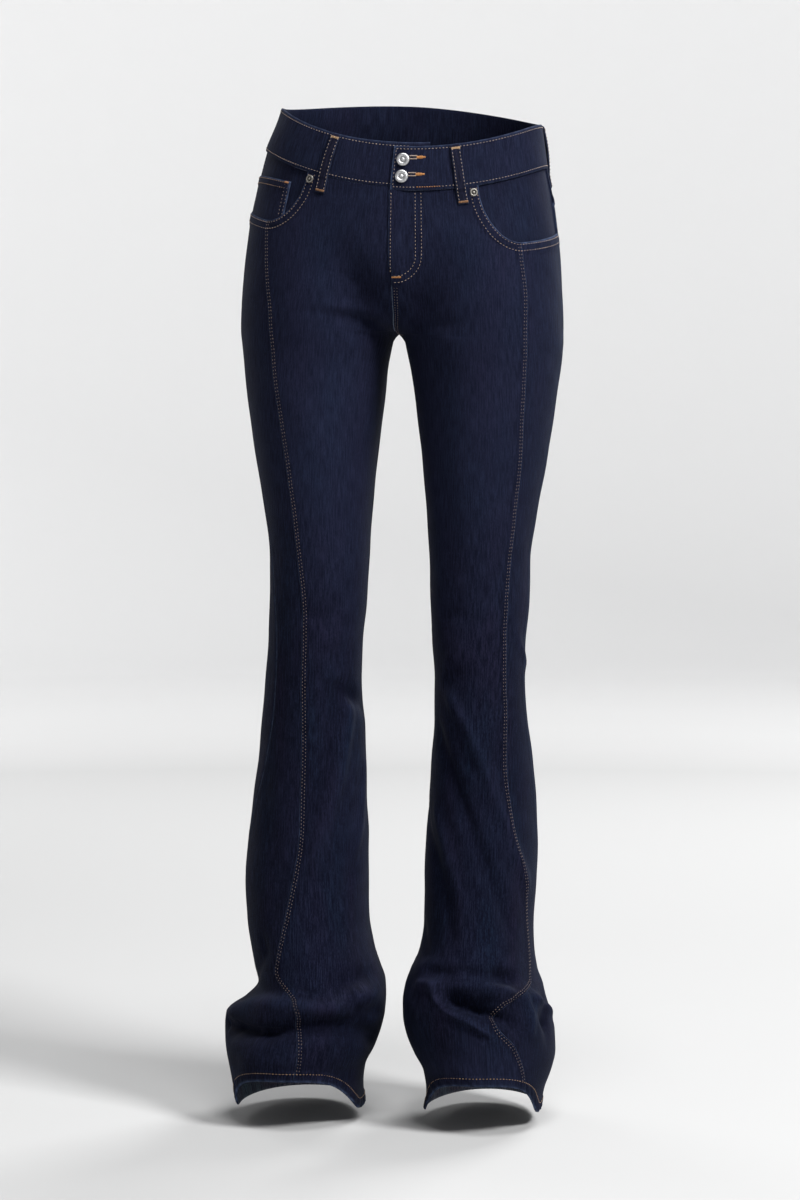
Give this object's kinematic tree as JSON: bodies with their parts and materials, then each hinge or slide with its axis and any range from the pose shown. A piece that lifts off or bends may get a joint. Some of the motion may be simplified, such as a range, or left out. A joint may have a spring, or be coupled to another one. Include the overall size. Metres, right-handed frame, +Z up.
{
  "type": "flared jeans",
  "caption": "Dark denim flared jeans in worn form: lapped waistband with shank buttons, scooped pockets, seams down the leg fronts and wide hems that break over the foot.",
  "frame": {"origin": "middle of the waist opening, level with the waistband's top edge on the hips, where the wearer's waist holds the jeans up", "axes": "+Z up, the wearer faces -Y, so +X is the wearer's left"},
  "size_m": [0.3746, 0.2474, 1.1125],
  "materials": {
    "denim": "dark indigo twill",
    "denim_side_panels": "dark indigo twill",
    "denim_trim": "dark indigo twill, worn at its edges",
    "denim_facing": "dark indigo twill",
    "silver_metal": "satin silver",
    "aged_nickel": "aged nickel"
  },
  "bodies": {
    "root": {"waistband": "denim_trim", "front_centre_right": "denim", "front_centre_left": "denim", "front_side_right": "denim_side_panels", "front_side_left": "denim_side_panels", "back_right": "denim", "back_left": "denim", "yoke_right": "denim_side_panels", "yoke_left": "denim_side_panels", "back_pocket_right": "denim_trim", "back_pocket_left": "denim_trim", "facing_right": "denim_facing", "facing_left": "denim_facing", "coin_pocket": "denim_trim", "belt_loop_1": "denim_trim", "belt_loop_2": "denim_trim", "belt_loop_3": "denim_trim", "belt_loop_4": "denim_trim", "belt_loop_5": "denim_trim", "button_upper": "silver_metal", "button_lower": "silver_metal", "rivet_right": "aged_nickel", "rivet_left": "aged_nickel"}
  },
  "joints": []
}
